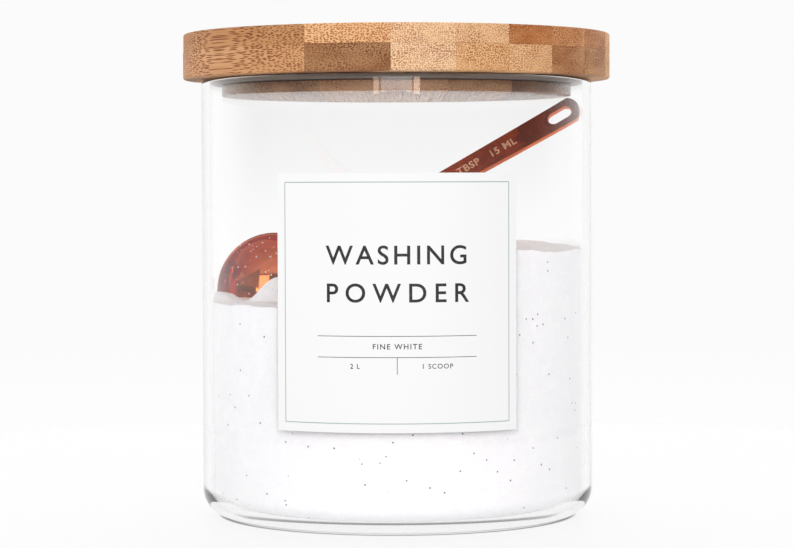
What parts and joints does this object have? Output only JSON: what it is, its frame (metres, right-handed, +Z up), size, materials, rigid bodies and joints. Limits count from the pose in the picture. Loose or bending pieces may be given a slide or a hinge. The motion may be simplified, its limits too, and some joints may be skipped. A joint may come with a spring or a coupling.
{
  "type": "lidded glass canister with scoop",
  "caption": "Straight-sided glass canister for washing powder, with a lift-off laminated bamboo lid, a silicone seal, a blank-bordered label and a copper scoop.",
  "frame": {"origin": "centre of the jar's flat base, on the surface it stands on", "axes": "+Z up the jar, -Y towards the label's front, +X to the label's right as it is read"},
  "size_m": [0.1638, 0.1638, 0.1842],
  "materials": {
    "glass": "clear, polished, faint green at the edges",
    "powder": "matt white granules with a few blue specks",
    "label_paper": "smooth white, semi-matt",
    "copper": "polished copper plating",
    "silicone": "translucent, satin",
    "bamboo": "oiled end grain, satin"
  },
  "bodies": {
    "canister": {"glass_jar": "glass", "detergent_powder": "powder", "label": "label_paper"},
    "lid": {"lid_top_strip_1": "bamboo", "lid_top_strip_2": "bamboo", "lid_top_strip_3": "bamboo", "lid_top_strip_4": "bamboo", "lid_top_strip_5": "bamboo", "lid_top_strip_6": "bamboo", "lid_top_strip_7": "bamboo", "lid_top_strip_8": "bamboo", "lid_top_strip_9": "bamboo", "lid_lower_strip_1": "bamboo", "lid_lower_strip_2": "bamboo", "lid_lower_strip_3": "bamboo", "lid_lower_strip_4": "bamboo", "lid_lower_strip_5": "bamboo", "lid_lower_strip_6": "bamboo", "lid_lower_strip_7": "bamboo", "lid_lower_strip_8": "bamboo", "lid_lower_strip_9": "bamboo", "plug_strip_1": "bamboo", "plug_strip_2": "bamboo", "plug_strip_3": "bamboo", "plug_strip_4": "bamboo", "plug_strip_5": "bamboo", "plug_strip_6": "bamboo", "lid_seal": "silicone"},
    "scoop": {"scoop_bowl": "copper", "scoop_handle": "copper", "scoop_load": "powder"}
  },
  "joints": [
    {"name": "lid_lift", "type": "slide", "parent": "canister", "child": "lid", "axis": [0, 0, 1], "range_m": [0, 0.26]},
    {"name": "scoop_lift", "type": "slide", "parent": "canister", "child": "scoop", "axis": [0, 0, 1], "range_m": [0, 0.13]}
  ],
  "couplings": [
    {"joint": "scoop_lift", "follows": "lid_lift", "ratio": 0.5}
  ]
}
